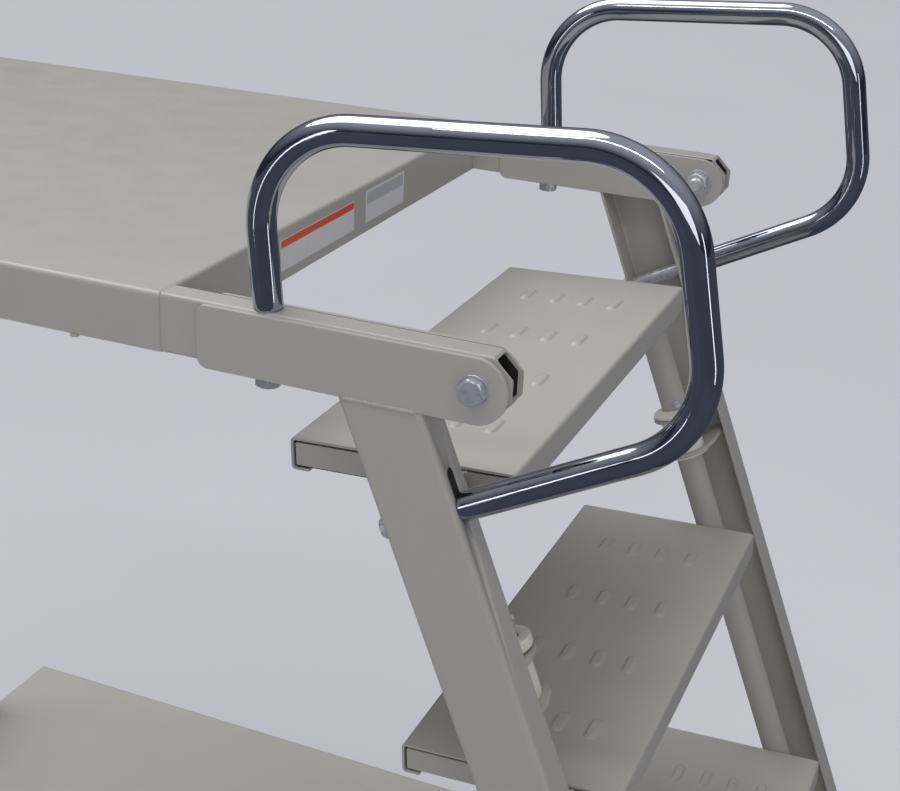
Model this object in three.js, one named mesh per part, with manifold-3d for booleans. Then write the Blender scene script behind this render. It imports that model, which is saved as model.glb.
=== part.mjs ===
// Mobile ladder stand: two sheet-steel decks on a castered base, joined at one end by a sloping
// ladder whose tread frame slides in nylon guides on the outer stiles. Millimetres, +Z up,
// climber on the +X side facing -X; "left" is the climber's left (-Y).
import * as THREE from 'three';
import Module from 'manifold-3d';
import { mergeVertices } from 'three/addons/utils/BufferGeometryUtils.js';

const wasm = await Module();
wasm.setup();

// Driving dimensions
const GAP = 0.3;
const HALF_WIDTH = 365;
const DECK_TOP = 1275;
const DECK_REAR = -1040;
const DECK_FRONT = -289;
const DECK_SHEET = 2;
const DECK_SKIRT = 54;
const LOWER_TOP = 245;
const LOWER_FRONT = 130;
const LOWER_SKIRT = 50;

const ARM_WIDTH = 25.4;
const ARM_HEIGHT = 54;
const ARM_WALL = 2.2;
const ARM_END = 30;
const ARM_CLIP = 17;

const PLATE_THICK = 5;
const PLATE_REAR = -251;
const PLATE_HEIGHT = 57;
const PIVOT_DROP = 28;
const PIVOT_BOLT_R = 8;

const LADDER_SLOPE = THREE.MathUtils.degToRad(22);
const LADDER_X_AT_TOP = -105.4;
const STILE_WIDTH = 70;
const STILE_DEPTH = 35;
const STILE_SHEET = 3;
const STILE_FOOT = 130;
const STILE_OUTER = HALF_WIDTH + GAP + PLATE_THICK;
const SLOT_DROP = [126, 150];
const SLOT_R = 6;

// Grab handle: bend radius, its end on the stile and its last straight run's downhill direction
const GRAB_R = 12.7;
const GRAB_Y = HALF_WIDTH - ARM_WIDTH / 2;
const GRAB_BEND = 86;
const GRAB_END = [-2.4, -136.7];
const GRAB_RUN = new THREE.Vector3(-0.8841, 0, -0.4672);
const TIE_BOLT_R = 4.8;

const TREAD_COUNT = 4;
const TREAD_RISE = 300;
const TREAD_DROP = 141;
const TREAD_NOSE = 8;
const TREAD_DEPTH = 220;
const TREAD_SHEET = 2.5;
const TREAD_FLANGE = 32;
const TREAD_LIP = 18;
const TREAD_TILT = THREE.MathUtils.degToRad(3);
const TREAD_HALF = 279;

const POST_R = 15.9;
const POST_Y = TREAD_HALF + GAP + POST_R;
const POST_BACK = 5.3;
const FOOT_R = 30.3;
const GUIDE_TOP_DROP = 310;
const GUIDE_SPACING = 46;
const GUIDE_LOW_DROP = 890;
const RING_R = 29;
const RING_THICK = 4;
const BUSH_R = 21.5;
const BUSH_FLANGE_R = 28;
const BUSH_FLANGE = { left: 12, right: 5 };

const RAIL_WIDTH = 60;
const RAIL_TOP = LOWER_TOP - LOWER_SKIRT - GAP;
const RAIL_BOTTOM = 159;

const UPRIGHT = 38;
const UPRIGHT_Y = 220;
const PUSH_HEIGHT = 1000;
const PUSH_REACH = 95;

const WHEEL_R = 63.5;
const WHEEL_HALF = 16;
const CASTER_X = [-960, 60];
const CASTER_Y = 325;
const CASTER_TRAIL = 34;

// Finishes
const PAINT = { color: 0xb5b1a8, metalness: 0.1, roughness: 0.5 };
const CHROME = { color: 0xd8dade, metalness: 1.0, roughness: 0.08 };
const ZINC = { color: 0xa9adb5, metalness: 0.9, roughness: 0.35 };
const NYLON = { color: 0xeceae2, metalness: 0.0, roughness: 0.5 };
const RUBBER = { color: 0x1c1c1d, metalness: 0.0, roughness: 0.85 };
const TREAD_RUBBER = { color: 0x4b4d50, metalness: 0.0, roughness: 0.7 };

const group = new THREE.Group();
group.name = 'mobile_ladder_stand';

function toSolid(geometry) {
  const bare = new THREE.BufferGeometry();
  const source = geometry.index ? geometry.toNonIndexed() : geometry;
  bare.setAttribute('position', source.getAttribute('position').clone());
  const merged = mergeVertices(bare, 1e-4);
  return new wasm.Manifold(new wasm.Mesh({
    numProp: 3,
    vertProperties: new Float32Array(merged.attributes.position.array),
    triVerts: new Uint32Array(merged.index.array),
  }));
}

function toGeometry(solid) {
  const mesh = solid.getMesh();
  const geometry = new THREE.BufferGeometry();
  geometry.setAttribute('position', new THREE.BufferAttribute(mesh.vertProperties, 3));
  geometry.setIndex(new THREE.BufferAttribute(mesh.triVerts, 1));
  const flat = geometry.toNonIndexed();
  flat.computeVertexNormals();
  return flat;
}

function addPart(name, solid, finish) {
  const mesh = new THREE.Mesh(toGeometry(solid), new THREE.MeshStandardMaterial(finish));
  mesh.name = name;
  group.add(mesh);
}

function boxSolid(x0, x1, y0, y1, z0, z1) {
  const geometry = new THREE.BoxGeometry(x1 - x0, y1 - y0, z1 - z0);
  geometry.translate((x0 + x1) / 2, (y0 + y1) / 2, (z0 + z1) / 2);
  return toSolid(geometry);
}

// Outline drawn in the XZ plane and given a thickness along Y.
function slabSolid(shape, y0, y1, curveSegments = 12) {
  const geometry = new THREE.ExtrudeGeometry(shape, {
    depth: y1 - y0, bevelEnabled: false, curveSegments,
  });
  geometry.rotateX(Math.PI / 2);
  geometry.translate(0, y1, 0);
  return toSolid(geometry);
}

function polygon(points) {
  return new THREE.Shape(points.map(([x, z]) => new THREE.Vector2(x, z)));
}

function rodSolid(from, to, radius, segments = 24) {
  const axis = new THREE.Vector3().subVectors(to, from);
  const geometry = new THREE.CylinderGeometry(radius, radius, axis.length(), segments);
  const up = new THREE.Vector3(0, 1, 0);
  geometry.applyQuaternion(new THREE.Quaternion().setFromUnitVectors(up, axis.clone().normalize()));
  const middle = new THREE.Vector3().addVectors(from, to).multiplyScalar(0.5);
  geometry.translate(middle.x, middle.y, middle.z);
  return toSolid(geometry);
}

// Square across the stiles, out towards the climber.
const ACROSS = new THREE.Vector3(Math.cos(LADDER_SLOPE), 0, Math.sin(LADDER_SLOPE));

// A point on the stiles' centre line at a drop below the upper deck, moved out across them.
function ladderPoint(drop, y, out = 0) {
  const x = LADDER_X_AT_TOP + drop * Math.tan(LADDER_SLOPE);
  return new THREE.Vector3(x, y, DECK_TOP - drop).addScaledVector(ACROSS, out);
}

// A piece drawn square to the ladder: local X across the stile, local Z up the stile,
// placed on the ladder's centre line at the given drop below the upper deck.
function ladderPlace(solid, drop) {
  const centre = ladderPoint(drop, 0);
  return solid.rotate([0, -THREE.MathUtils.radToDeg(LADDER_SLOPE), 0])
    .translate([centre.x, centre.y, centre.z]);
}

class ArcCurve extends THREE.Curve {
  constructor(centre, from, to) {
    super();
    this.centre = centre;
    this.from = new THREE.Vector3().subVectors(from, centre);
    this.turn = this.from.angleTo(new THREE.Vector3().subVectors(to, centre));
    const to3 = new THREE.Vector3().subVectors(to, centre);
    this.axis = new THREE.Vector3().crossVectors(this.from, to3).normalize();
  }

  getPoint(t, target = new THREE.Vector3()) {
    return target.copy(this.from).applyAxisAngle(this.axis, this.turn * t).add(this.centre);
  }
}

// Tube centre line through corner points, each inner corner rounded with its own bend radius.
function bentPath(corners, radii) {
  const path = new THREE.CurvePath();
  let start = corners[0];
  for (let i = 1; i < corners.length - 1; i += 1) {
    const into = new THREE.Vector3().subVectors(corners[i], corners[i - 1]).normalize();
    const away = new THREE.Vector3().subVectors(corners[i + 1], corners[i]).normalize();
    const bend = into.angleTo(away);
    const reach = radii[i - 1] * Math.tan(bend / 2);
    const a = corners[i].clone().addScaledVector(into, -reach);
    const b = corners[i].clone().addScaledVector(away, reach);
    const inward = new THREE.Vector3().subVectors(away, into).normalize();
    const centre = corners[i].clone().addScaledVector(inward, radii[i - 1] / Math.cos(bend / 2));
    path.add(new THREE.LineCurve3(start, a));
    path.add(new ArcCurve(centre, a, b));
    start = b;
  }
  path.add(new THREE.LineCurve3(start, corners[corners.length - 1]));
  return path;
}

function sweepSolid(path, radius, steps, sides) {
  const corners = Array.from({ length: sides }, (unused, i) => {
    const angle = (i / sides) * Math.PI * 2;
    return new THREE.Vector2(radius * Math.cos(angle), radius * Math.sin(angle));
  });
  return toSolid(new THREE.ExtrudeGeometry(new THREE.Shape(corners), {
    extrudePath: path, steps, bevelEnabled: false,
  }));
}

function trayDeck(name, x0, x1, top, skirt) {
  const outer = boxSolid(x0, x1, -HALF_WIDTH, HALF_WIDTH, top - skirt, top);
  const inner = boxSolid(x0 + DECK_SHEET, x1 - DECK_SHEET, DECK_SHEET - HALF_WIDTH,
    HALF_WIDTH - DECK_SHEET, top - skirt - 1, top - DECK_SHEET);
  addPart(name, outer.subtract(inner), PAINT);
}

function armTube(side, sign) {
  const outline = polygon([
    [DECK_FRONT + GAP, DECK_TOP - ARM_HEIGHT],
    [ARM_END - ARM_CLIP, DECK_TOP - ARM_HEIGHT],
    [ARM_END, DECK_TOP - ARM_HEIGHT + ARM_CLIP],
    [ARM_END, DECK_TOP - ARM_CLIP],
    [ARM_END - ARM_CLIP, DECK_TOP],
    [DECK_FRONT + GAP, DECK_TOP],
  ]);
  const y = [sign * (HALF_WIDTH - ARM_WIDTH), sign * HALF_WIDTH].sort((a, b) => a - b);
  const bore = boxSolid(DECK_FRONT - 5, ARM_END + 5, y[0] + ARM_WALL, y[1] - ARM_WALL,
    DECK_TOP - ARM_HEIGHT + ARM_WALL, DECK_TOP - ARM_WALL);
  const tube = slabSolid(outline, y[0], y[1]).subtract(bore).subtract(pivotHole());
  addPart(`arm_tube_${side}`, tube, PAINT);
}

function pivotPoint(y) {
  return new THREE.Vector3(0, y, DECK_TOP - PIVOT_DROP);
}

function pivotHole() {
  return rodSolid(pivotPoint(-400), pivotPoint(400), PIVOT_BOLT_R + GAP, 16);
}

function pivotPlate(name, y0, y1) {
  const top = DECK_TOP - 1;
  const bottom = top - PLATE_HEIGHT;
  const radius = PLATE_HEIGHT / 2;
  const corner = 9;
  const shape = new THREE.Shape();
  shape.moveTo(PLATE_REAR + corner, bottom);
  shape.lineTo(0, bottom);
  shape.absarc(0, bottom + radius, radius, -Math.PI / 2, Math.PI / 2, false);
  shape.lineTo(PLATE_REAR + corner, top);
  shape.absarc(PLATE_REAR + corner, top - corner, corner, Math.PI / 2, Math.PI, false);
  shape.absarc(PLATE_REAR + corner, bottom + corner, corner, Math.PI, Math.PI * 1.5, false);
  addPart(name, slabSolid(shape, y0, y1, 8).subtract(pivotHole()), PAINT);
}

function pivotPlates(side, sign) {
  const outer = [sign * (HALF_WIDTH + GAP), sign * STILE_OUTER].sort((a, b) => a - b);
  const innerFace = HALF_WIDTH - ARM_WIDTH - GAP;
  const inner = [sign * innerFace, sign * (innerFace - PLATE_THICK)].sort((a, b) => a - b);
  pivotPlate(`pivot_plate_outer_${side}`, outer[0], outer[1]);
  pivotPlate(`pivot_plate_inner_${side}`, inner[0], inner[1]);
}

function pivotBolt(side, sign) {
  const outerFace = STILE_OUTER + GAP;
  const innerFace = HALF_WIDTH - ARM_WIDTH - PLATE_THICK - 2 * GAP;
  const shank = rodSolid(pivotPoint(sign * (innerFace - 20)), pivotPoint(sign * (outerFace + 2)),
    PIVOT_BOLT_R, 16);
  const head = rodSolid(pivotPoint(sign * outerFace), pivotPoint(sign * (outerFace + 10)), 13.5, 6);
  const nut = rodSolid(pivotPoint(sign * innerFace), pivotPoint(sign * (innerFace - 13)), 13.5, 6);
  addPart(`pivot_bolt_${side}`, shank.add(head).add(nut), ZINC);
}

// A point on the grab handle's last straight run, at a distance past its end on the stile.
function grabPoint(distance, sign) {
  return new THREE.Vector3(GRAB_END[0], sign * GRAB_Y, DECK_TOP + GRAB_END[1])
    .addScaledVector(GRAB_RUN, distance);
}

function ladderStile(side, sign) {
  const top = -1 + PLATE_HEIGHT + GAP + 2;
  const length = DECK_TOP / Math.cos(LADDER_SLOPE) + 200;
  const half = STILE_WIDTH / 2;
  const y = [sign * (STILE_OUTER - STILE_DEPTH), sign * STILE_OUTER].sort((a, b) => a - b);
  const open = sign > 0 ? [y[0] - 1, y[1] - STILE_SHEET] : [y[0] + STILE_SHEET, y[1] + 1];
  const channel = boxSolid(-half, half, y[0], y[1], -length, length)
    .subtract(boxSolid(STILE_SHEET - half, half - STILE_SHEET, open[0], open[1], -length - 1,
      length + 1));
  const placed = ladderPlace(channel, 600);
  const keep = boxSolid(-900, 900, -400, 400, STILE_FOOT, DECK_TOP - top);
  const slotY = sign * (STILE_OUTER - STILE_DEPTH / 2 + 2);
  const ends = SLOT_DROP.map((drop) => rodSolid(ladderPoint(drop, slotY, half - 15),
    ladderPoint(drop, slotY, half + 15), SLOT_R, 16));
  const slot = ends[0].add(ends[1]).hull();
  const tie = rodSolid(grabPoint(-12, sign), grabPoint(100, sign), TIE_BOLT_R + GAP, 12);
  addPart(`ladder_stile_${side}`, placed.intersect(keep).subtract(slot).subtract(tie), PAINT);
}

function grabHandle(side, sign) {
  const corner = (x, rise) => new THREE.Vector3(x, sign * GRAB_Y, DECK_TOP + rise);
  const corners = [
    corner(-192, GAP), corner(-205, 151.8), corner(144.8, 176.8), corner(187.6, -36.3),
    corner(GRAB_END[0], GRAB_END[1]),
  ];
  const bends = [GRAB_BEND, GRAB_BEND, GRAB_BEND];
  const tube = sweepSolid(bentPath(corners, bends), GRAB_R, 46, 12);
  const bore = rodSolid(grabPoint(-30, sign), grabPoint(20, sign), TIE_BOLT_R + GAP, 12);
  const face = ACROSS.dot(ladderPoint(0, 0)) + STILE_WIDTH / 2 + GAP;
  const behind = boxSolid(-80, 60, -400, 400, DECK_TOP - 200, DECK_TOP - 90)
    .trimByPlane([-ACROSS.x, -ACROSS.y, -ACROSS.z], -face);
  const foot = boxSolid(-260, -120, -400, 400, 0, DECK_TOP + GAP);
  addPart(`grab_handle_${side}`, tube.subtract(behind).subtract(foot).subtract(bore), CHROME);
}

function tieBolt(side, sign) {
  const rear = ACROSS.dot(ladderPoint(0, 0)) - STILE_WIDTH / 2 - GAP;
  const reach = (rear - ACROSS.dot(grabPoint(0, sign))) / ACROSS.dot(GRAB_RUN);
  const shank = rodSolid(grabPoint(-24, sign), grabPoint(reach + 6, sign), TIE_BOLT_R, 12);
  const head = rodSolid(grabPoint(reach + 2, sign), grabPoint(reach + 10, sign), 11, 6);
  addPart(`handle_tie_bolt_${side}`, shank.add(head), ZINC);
}

// A round piece about the tread post's axis, in the ladder's own square axes.
function postRod(sign, z0, z1, radius) {
  const at = (z) => new THREE.Vector3(-POST_BACK, sign * POST_Y, z);
  return rodSolid(at(z0), at(z1), radius, 24);
}

// Eyes on a back plate inside the stile channel; the tread frame's round post slides through
// them in nylon.
function guideEye(sign, z0) {
  const reach = STILE_OUTER - STILE_SHEET - GAP;
  const y = [sign * POST_Y, sign * reach].sort((a, b) => a - b);
  const neck = boxSolid(-27, 27, y[0], y[1], z0, z0 + RING_THICK);
  return postRod(sign, z0, z0 + RING_THICK, RING_R).add(neck)
    .subtract(postRod(sign, z0 - 2, z0 + RING_THICK + 2, BUSH_R + GAP));
}

function guideBracket(name, sign, drop, offsets) {
  const reach = STILE_OUTER - STILE_SHEET - GAP;
  const y = [sign * reach, sign * (reach - RING_THICK)].sort((a, b) => a - b);
  const low = Math.min(...offsets);
  const high = Math.max(...offsets) + RING_THICK;
  let bracket = boxSolid(-27, 27, y[0], y[1], low - 12, high + 12);
  for (const offset of offsets) {
    bracket = bracket.add(guideEye(sign, offset));
  }
  addPart(name, ladderPlace(bracket, drop), PAINT);
}

// Nylon turned to a stack of [from, to, radius] steps and bored for the post.
function guideBush(name, sign, drop, stepsUp) {
  const rods = stepsUp.map(([z0, z1, radius]) => postRod(sign, z0, z1, radius));
  const turned = rods.reduce((all, rod) => all.add(rod));
  const bore = postRod(sign, -80, 80, POST_R + GAP);
  addPart(name, ladderPlace(turned.subtract(bore), drop), NYLON);
}

function ladderGuides(side, sign) {
  const seat = RING_THICK + GAP;
  const under = -GUIDE_SPACING - GAP;
  guideBracket(`guide_bracket_upper_${side}`, sign, GUIDE_TOP_DROP, [0, -GUIDE_SPACING]);
  guideBush(`guide_bush_top_${side}`, sign, GUIDE_TOP_DROP, [
    [-GUIDE_SPACING, seat + 1, BUSH_R], [seat, seat + BUSH_FLANGE[side], BUSH_FLANGE_R],
  ]);
  guideBush(`guide_bush_mid_${side}`, sign, GUIDE_TOP_DROP, [[under - 3, under, 25.5]]);
  guideBracket(`guide_bracket_lower_${side}`, sign, GUIDE_LOW_DROP, [0]);
  guideBush(`guide_bush_low_${side}`, sign, GUIDE_LOW_DROP, [
    [-3, seat + 1, BUSH_R], [seat, seat + 3, BUSH_FLANGE_R],
  ]);
}

function treadPlace(solid, index) {
  const drop = TREAD_DROP + index * TREAD_RISE;
  const x = TREAD_NOSE + index * TREAD_RISE * Math.tan(LADDER_SLOPE);
  return solid.rotate([0, -THREE.MathUtils.radToDeg(TREAD_TILT), 0])
    .translate([x, 0, DECK_TOP - drop]);
}

function tread(index) {
  const s = TREAD_SHEET;
  const profile = polygon([
    [0, 0], [-TREAD_DEPTH, 0], [-TREAD_DEPTH, -TREAD_FLANGE],
    [TREAD_LIP - TREAD_DEPTH, -TREAD_FLANGE], [TREAD_LIP - TREAD_DEPTH, s - TREAD_FLANGE],
    [s - TREAD_DEPTH, s - TREAD_FLANGE], [s - TREAD_DEPTH, -s], [-s, -s],
    [-s, s - TREAD_FLANGE], [-TREAD_LIP, s - TREAD_FLANGE], [-TREAD_LIP, -TREAD_FLANGE],
    [0, -TREAD_FLANGE],
  ]);
  addPart(`tread_${index + 1}`, treadPlace(slabSolid(profile, -TREAD_HALF, TREAD_HALF), index),
    PAINT);
}

function treadEndPlate(index, side, sign) {
  const s = TREAD_SHEET + GAP;
  const face = TREAD_HALF - 2.5;
  const y = [sign * face, sign * (face - TREAD_SHEET)].sort((a, b) => a - b);
  const plate = boxSolid(s - TREAD_DEPTH, -s, y[0], y[1], s - TREAD_FLANGE, -s);
  addPart(`tread_end_plate_${index + 1}_${side}`, treadPlace(plate, index), PAINT);
}

function treadPost(side, sign) {
  const at = (drop) => ladderPoint(drop, sign * POST_Y, -POST_BACK);
  const top = TREAD_DROP + 14;
  const bottom = DECK_TOP - 22;
  const bore = rodSolid(at(top - 20), at(bottom + 40), POST_R - 2.5, 24);
  const post = rodSolid(at(top), at(bottom), POST_R, 24).subtract(bore);
  addPart(`tread_post_${side}`, post, PAINT);
}

function rubberFoot(side, sign) {
  const at = (drop) => ladderPoint(drop, sign * POST_Y, -POST_BACK);
  const cup = rodSolid(at(DECK_TOP - 52), at(DECK_TOP + 60), FOOT_R, 28);
  const socket = rodSolid(at(DECK_TOP - 90), at(DECK_TOP - 21.5), POST_R + GAP, 24);
  const ground = boxSolid(-900, 900, -400, 400, -200, 0);
  addPart(`rubber_foot_${side}`, cup.subtract(socket).subtract(ground), RUBBER);
}

function baseRail(side, sign) {
  const y = [sign * (HALF_WIDTH - RAIL_WIDTH), sign * HALF_WIDTH].sort((a, b) => a - b);
  const stileRear = (z) => {
    const centre = ladderPoint(DECK_TOP - z, 0).x;
    return centre - STILE_WIDTH / 2 / Math.cos(LADDER_SLOPE) - GAP;
  };
  const outline = polygon([
    [DECK_REAR, RAIL_BOTTOM], [stileRear(RAIL_BOTTOM), RAIL_BOTTOM],
    [stileRear(RAIL_TOP), RAIL_TOP], [DECK_REAR, RAIL_TOP],
  ]);
  const bore = boxSolid(DECK_REAR - 5, 600, y[0] + 2.5, y[1] - 2.5, RAIL_BOTTOM + 2.5,
    RAIL_TOP - 2.5);
  addPart(`base_rail_${side}`, slabSolid(outline, y[0], y[1]).subtract(bore), PAINT);
}

function upright(side, sign) {
  const x = [DECK_REAR - GAP - UPRIGHT, DECK_REAR - GAP];
  const y = [sign * UPRIGHT_Y - UPRIGHT / 2, sign * UPRIGHT_Y + UPRIGHT / 2];
  const tube = boxSolid(x[0], x[1], y[0], y[1], RAIL_BOTTOM, DECK_TOP - 4);
  const bore = boxSolid(x[0] + 2, x[1] - 2, y[0] + 2, y[1] - 2, 0, DECK_TOP + 10);
  addPart(`upright_${side}`, tube.subtract(bore), PAINT);
}

function pushHandle() {
  const near = DECK_REAR - GAP - UPRIGHT - GAP;
  const far = near - PUSH_REACH;
  const corner = (x, y) => new THREE.Vector3(x, y, PUSH_HEIGHT);
  const corners = [
    corner(near, -UPRIGHT_Y), corner(far, -UPRIGHT_Y), corner(far, UPRIGHT_Y),
    corner(near, UPRIGHT_Y),
  ];
  addPart('push_handle', sweepSolid(bentPath(corners, [50, 50]), GRAB_R, 30, 12), CHROME);
}

function caster(name, x, sign) {
  const y = sign * CASTER_Y;
  const at = (dx, dy, z) => new THREE.Vector3(x + dx, y + dy, z);
  const top = RAIL_BOTTOM - GAP;
  const plate = boxSolid(x - 45, x + 45, y - 38, y + 38, top - 4, top)
    .add(rodSolid(at(0, 0, top - 14), at(0, 0, top - 3), 24, 20));
  addPart(`${name}_plate`, plate, ZINC);

  const crown = top - 14 - GAP;
  const hub = -CASTER_TRAIL;
  const leg = new THREE.Shape();
  leg.moveTo(x - 24, crown - 2);
  leg.lineTo(x + 24, crown - 2);
  leg.lineTo(x + hub + 15, WHEEL_R);
  leg.absarc(x + hub, WHEEL_R, 15, 0, -Math.PI, true);
  leg.lineTo(x - 24, crown - 2);
  const inside = WHEEL_HALF + 3;
  let fork = rodSolid(at(0, 0, crown - 5), at(0, 0, crown), 26, 20)
    .add(boxSolid(x - 24, x + 24, y - inside - 3, y + inside + 3, crown - 5, crown - 1));
  fork = fork.add(slabSolid(leg, y + inside, y + inside + 3, 5));
  fork = fork.add(slabSolid(leg, y - inside - 3, y - inside, 5));
  fork = fork.add(rodSolid(at(hub, -inside - 9, WHEEL_R), at(hub, inside + 9, WHEEL_R), 5, 12));
  addPart(`${name}_fork`, fork, ZINC);

  const round = [
    [5.4, -WHEEL_HALF - 1.5], [14, -WHEEL_HALF - 1.5], [15, -WHEEL_HALF + 4],
    [46, -WHEEL_HALF + 4], [48, -WHEEL_HALF], [WHEEL_R - 4, -WHEEL_HALF],
    [WHEEL_R, -WHEEL_HALF + 5], [WHEEL_R, WHEEL_HALF - 5], [WHEEL_R - 4, WHEEL_HALF],
    [48, WHEEL_HALF], [46, WHEEL_HALF - 4], [15, WHEEL_HALF - 4], [14, WHEEL_HALF + 1.5],
    [5.4, WHEEL_HALF + 1.5], [5.4, -WHEEL_HALF - 1.5],
  ].map(([r, w]) => new THREE.Vector2(r, w));
  const wheel = new THREE.LatheGeometry(round, 24);
  wheel.translate(x + hub, y, WHEEL_R);
  addPart(`${name}_wheel`, toSolid(wheel), TREAD_RUBBER);
}

trayDeck('upper_deck', DECK_REAR, DECK_FRONT, DECK_TOP, DECK_SKIRT);
trayDeck('lower_deck', DECK_REAR, LOWER_FRONT, LOWER_TOP, LOWER_SKIRT);
for (const [side, sign] of [['left', -1], ['right', 1]]) {
  armTube(side, sign);
  pivotPlates(side, sign);
  pivotBolt(side, sign);
  ladderStile(side, sign);
  grabHandle(side, sign);
  tieBolt(side, sign);
  ladderGuides(side, sign);
  treadPost(side, sign);
  rubberFoot(side, sign);
  baseRail(side, sign);
  upright(side, sign);
  caster(`caster_rear_${side}`, CASTER_X[0], sign);
  caster(`caster_front_${side}`, CASTER_X[1], sign);
}
for (let index = 0; index < TREAD_COUNT; index += 1) {
  tread(index);
  treadEndPlate(index, 'left', -1);
  treadEndPlate(index, 'right', 1);
}
pushHandle();

// Stand the whole thing on Z = 0, centred over the origin.
const bounds = new THREE.Box3().setFromObject(group);
const centre = bounds.getCenter(new THREE.Vector3());
for (const mesh of group.children) {
  mesh.geometry.translate(-centre.x, -centre.y, -bounds.min.z);
}

export default group;
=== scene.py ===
import bpy
import numpy as np
from mathutils import Matrix, Vector


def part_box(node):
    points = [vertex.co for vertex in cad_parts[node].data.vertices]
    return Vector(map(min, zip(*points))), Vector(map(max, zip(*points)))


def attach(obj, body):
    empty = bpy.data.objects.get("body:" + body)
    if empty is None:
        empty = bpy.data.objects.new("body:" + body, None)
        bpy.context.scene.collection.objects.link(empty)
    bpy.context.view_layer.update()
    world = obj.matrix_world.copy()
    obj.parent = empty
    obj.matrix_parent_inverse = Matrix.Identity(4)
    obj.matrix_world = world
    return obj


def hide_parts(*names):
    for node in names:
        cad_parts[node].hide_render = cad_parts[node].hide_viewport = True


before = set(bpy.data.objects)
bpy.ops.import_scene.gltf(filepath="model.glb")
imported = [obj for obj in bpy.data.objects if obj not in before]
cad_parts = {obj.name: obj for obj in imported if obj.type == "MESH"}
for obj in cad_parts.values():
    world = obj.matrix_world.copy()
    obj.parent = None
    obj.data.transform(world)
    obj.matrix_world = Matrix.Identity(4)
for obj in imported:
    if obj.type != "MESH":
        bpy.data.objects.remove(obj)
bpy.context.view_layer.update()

# ---- Where the viewer stands --------------------------------------------------------------
# Standing height beside the ladder end, looking down past the near grab handle at the treads.
eye = Vector((0.7593, -1.3721, 1.7066))
ahead = Vector((-0.3432, 0.8510, -0.3976)).normalized()
upward = Vector((-0.1898, 0.3517, 0.9167))
rightward = ahead.cross(upward).normalized()
upward = rightward.cross(ahead).normalized()
camera = bpy.data.objects.new("Camera", bpy.data.cameras.new("Camera"))
camera.data.lens = 59.88
camera.data.sensor_width = 36.0
camera.data.clip_start = 0.05
camera.data.clip_end = 200.0
camera.matrix_world = Matrix((
    (rightward.x, upward.x, -ahead.x, eye.x),
    (rightward.y, upward.y, -ahead.y, eye.y),
    (rightward.z, upward.z, -ahead.z, eye.z),
    (0.0, 0.0, 0.0, 1.0),
))
bpy.context.scene.collection.objects.link(camera)
bpy.context.scene.camera = camera
bpy.context.scene.view_settings.view_transform = "Standard"


# ---- Studio -------------------------------------------------------------------------------
# A painted floor, cool pale grey, under one very wide soft light, a weak softbox and three strips.
# The walls are left dark, and with the floor's painted dark reflection they put the dark bands into
# the chrome.
def tone(hex_colour):
    """Linear colour of an sRGB hex value: a straight part, the value over 12.92, up to 0.04045,
    and a power of 2.4 above it."""
    parts = np.array([int(hex_colour[k:k + 2], 16) for k in (1, 3, 5)]) / 255
    line = np.where(parts <= 0.04045, parts / 12.92, ((parts + 0.055) / 1.055) ** 2.4)
    return (*(float(v) for v in line), 1.0)


def feed(tree, node, **inputs):
    """Gives each named input of a node its value, or links it from the socket that is given.
    Underscores in a name stand for spaces, and a name that starts with one is a number."""
    for name, value in inputs.items():
        key = int(name[1:]) if name[0] == "_" else name.replace("_", " ")
        if isinstance(value, bpy.types.NodeSocket):
            tree.links.new(value, node.inputs[key])
        else:
            node.inputs[key].default_value = value


def add(tree, kind, settings=None, **inputs):
    """Adds one node. Settings are its own fields, and the rest are its inputs."""
    made = tree.nodes.new(kind)
    for field, value in (settings or {}).items():
        setattr(made, field, value)
    feed(tree, made, **inputs)
    return made


def noise(tree, place, scale, detail, **more):
    """Strength of a noise that follows the given coordinates."""
    return add(tree, "ShaderNodeTexNoise", Vector=place, Scale=scale, Detail=detail,
               **more).outputs["Fac"]


def blend(tree, share, first, second):
    """Colour that goes from the first to the second as the share goes from 0 to 1."""
    return add(tree, "ShaderNodeMix", {"data_type": "RGBA"}, Factor=share, _6=first,
               _7=second).outputs[2]


def remap(tree, value, start, stop, low, high):
    """Value spread from the range start..stop to the range low..high, and held at its ends."""
    return add(tree, "ShaderNodeMapRange", Value=value, From_Min=start, From_Max=stop, To_Min=low,
               To_Max=high).outputs["Result"]


def bump(tree, height, strength, distance):
    """Normal of a surface whose relief is the height, at most the distance in metres deep."""
    return add(tree, "ShaderNodeBump", Height=height, Strength=strength,
               Distance=distance).outputs["Normal"]


def new_material(name):
    """An empty node material with its shader and output, and the object's own coordinates."""
    material = bpy.data.materials.new(name)
    material.use_nodes = True
    tree = material.node_tree
    tree.nodes.clear()
    shader = add(tree, "ShaderNodeBsdfPrincipled")
    add(tree, "ShaderNodeOutputMaterial", Surface=shader.outputs["BSDF"])
    place = add(tree, "ShaderNodeTexCoord").outputs["Object"]
    return material, tree, shader, place


floor_paint, tree, shader, place = new_material("floor_paint")
floor_tone = blend(tree, noise(tree, place, 0.7, 2.0), tone("#c6c6cc"), tone("#cbcbd1"))
# In glossy rays the floor's colour is swapped for a near black: a painted dark reflection, so
# mirror-like parts show the floor dark.
painted_dark_reflection = (0.055, 0.060, 0.085, 1.0)
mirrored = add(tree, "ShaderNodeLightPath").outputs["Is Glossy Ray"]
feed(tree, shader, Base_Color=blend(tree, mirrored, floor_tone, painted_dark_reflection), Roughness=0.8)

far = 60
floor_mesh = bpy.data.meshes.new("floor")
floor_mesh.from_pydata([(-far, -far, 0), (far, -far, 0), (far, far, 0), (-far, far, 0)], [],
                       [(0, 1, 2, 3)])
floor_mesh.materials.append(floor_paint)
floor = bpy.data.objects.new("floor", floor_mesh)
bpy.context.scene.collection.objects.link(floor)

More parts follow.
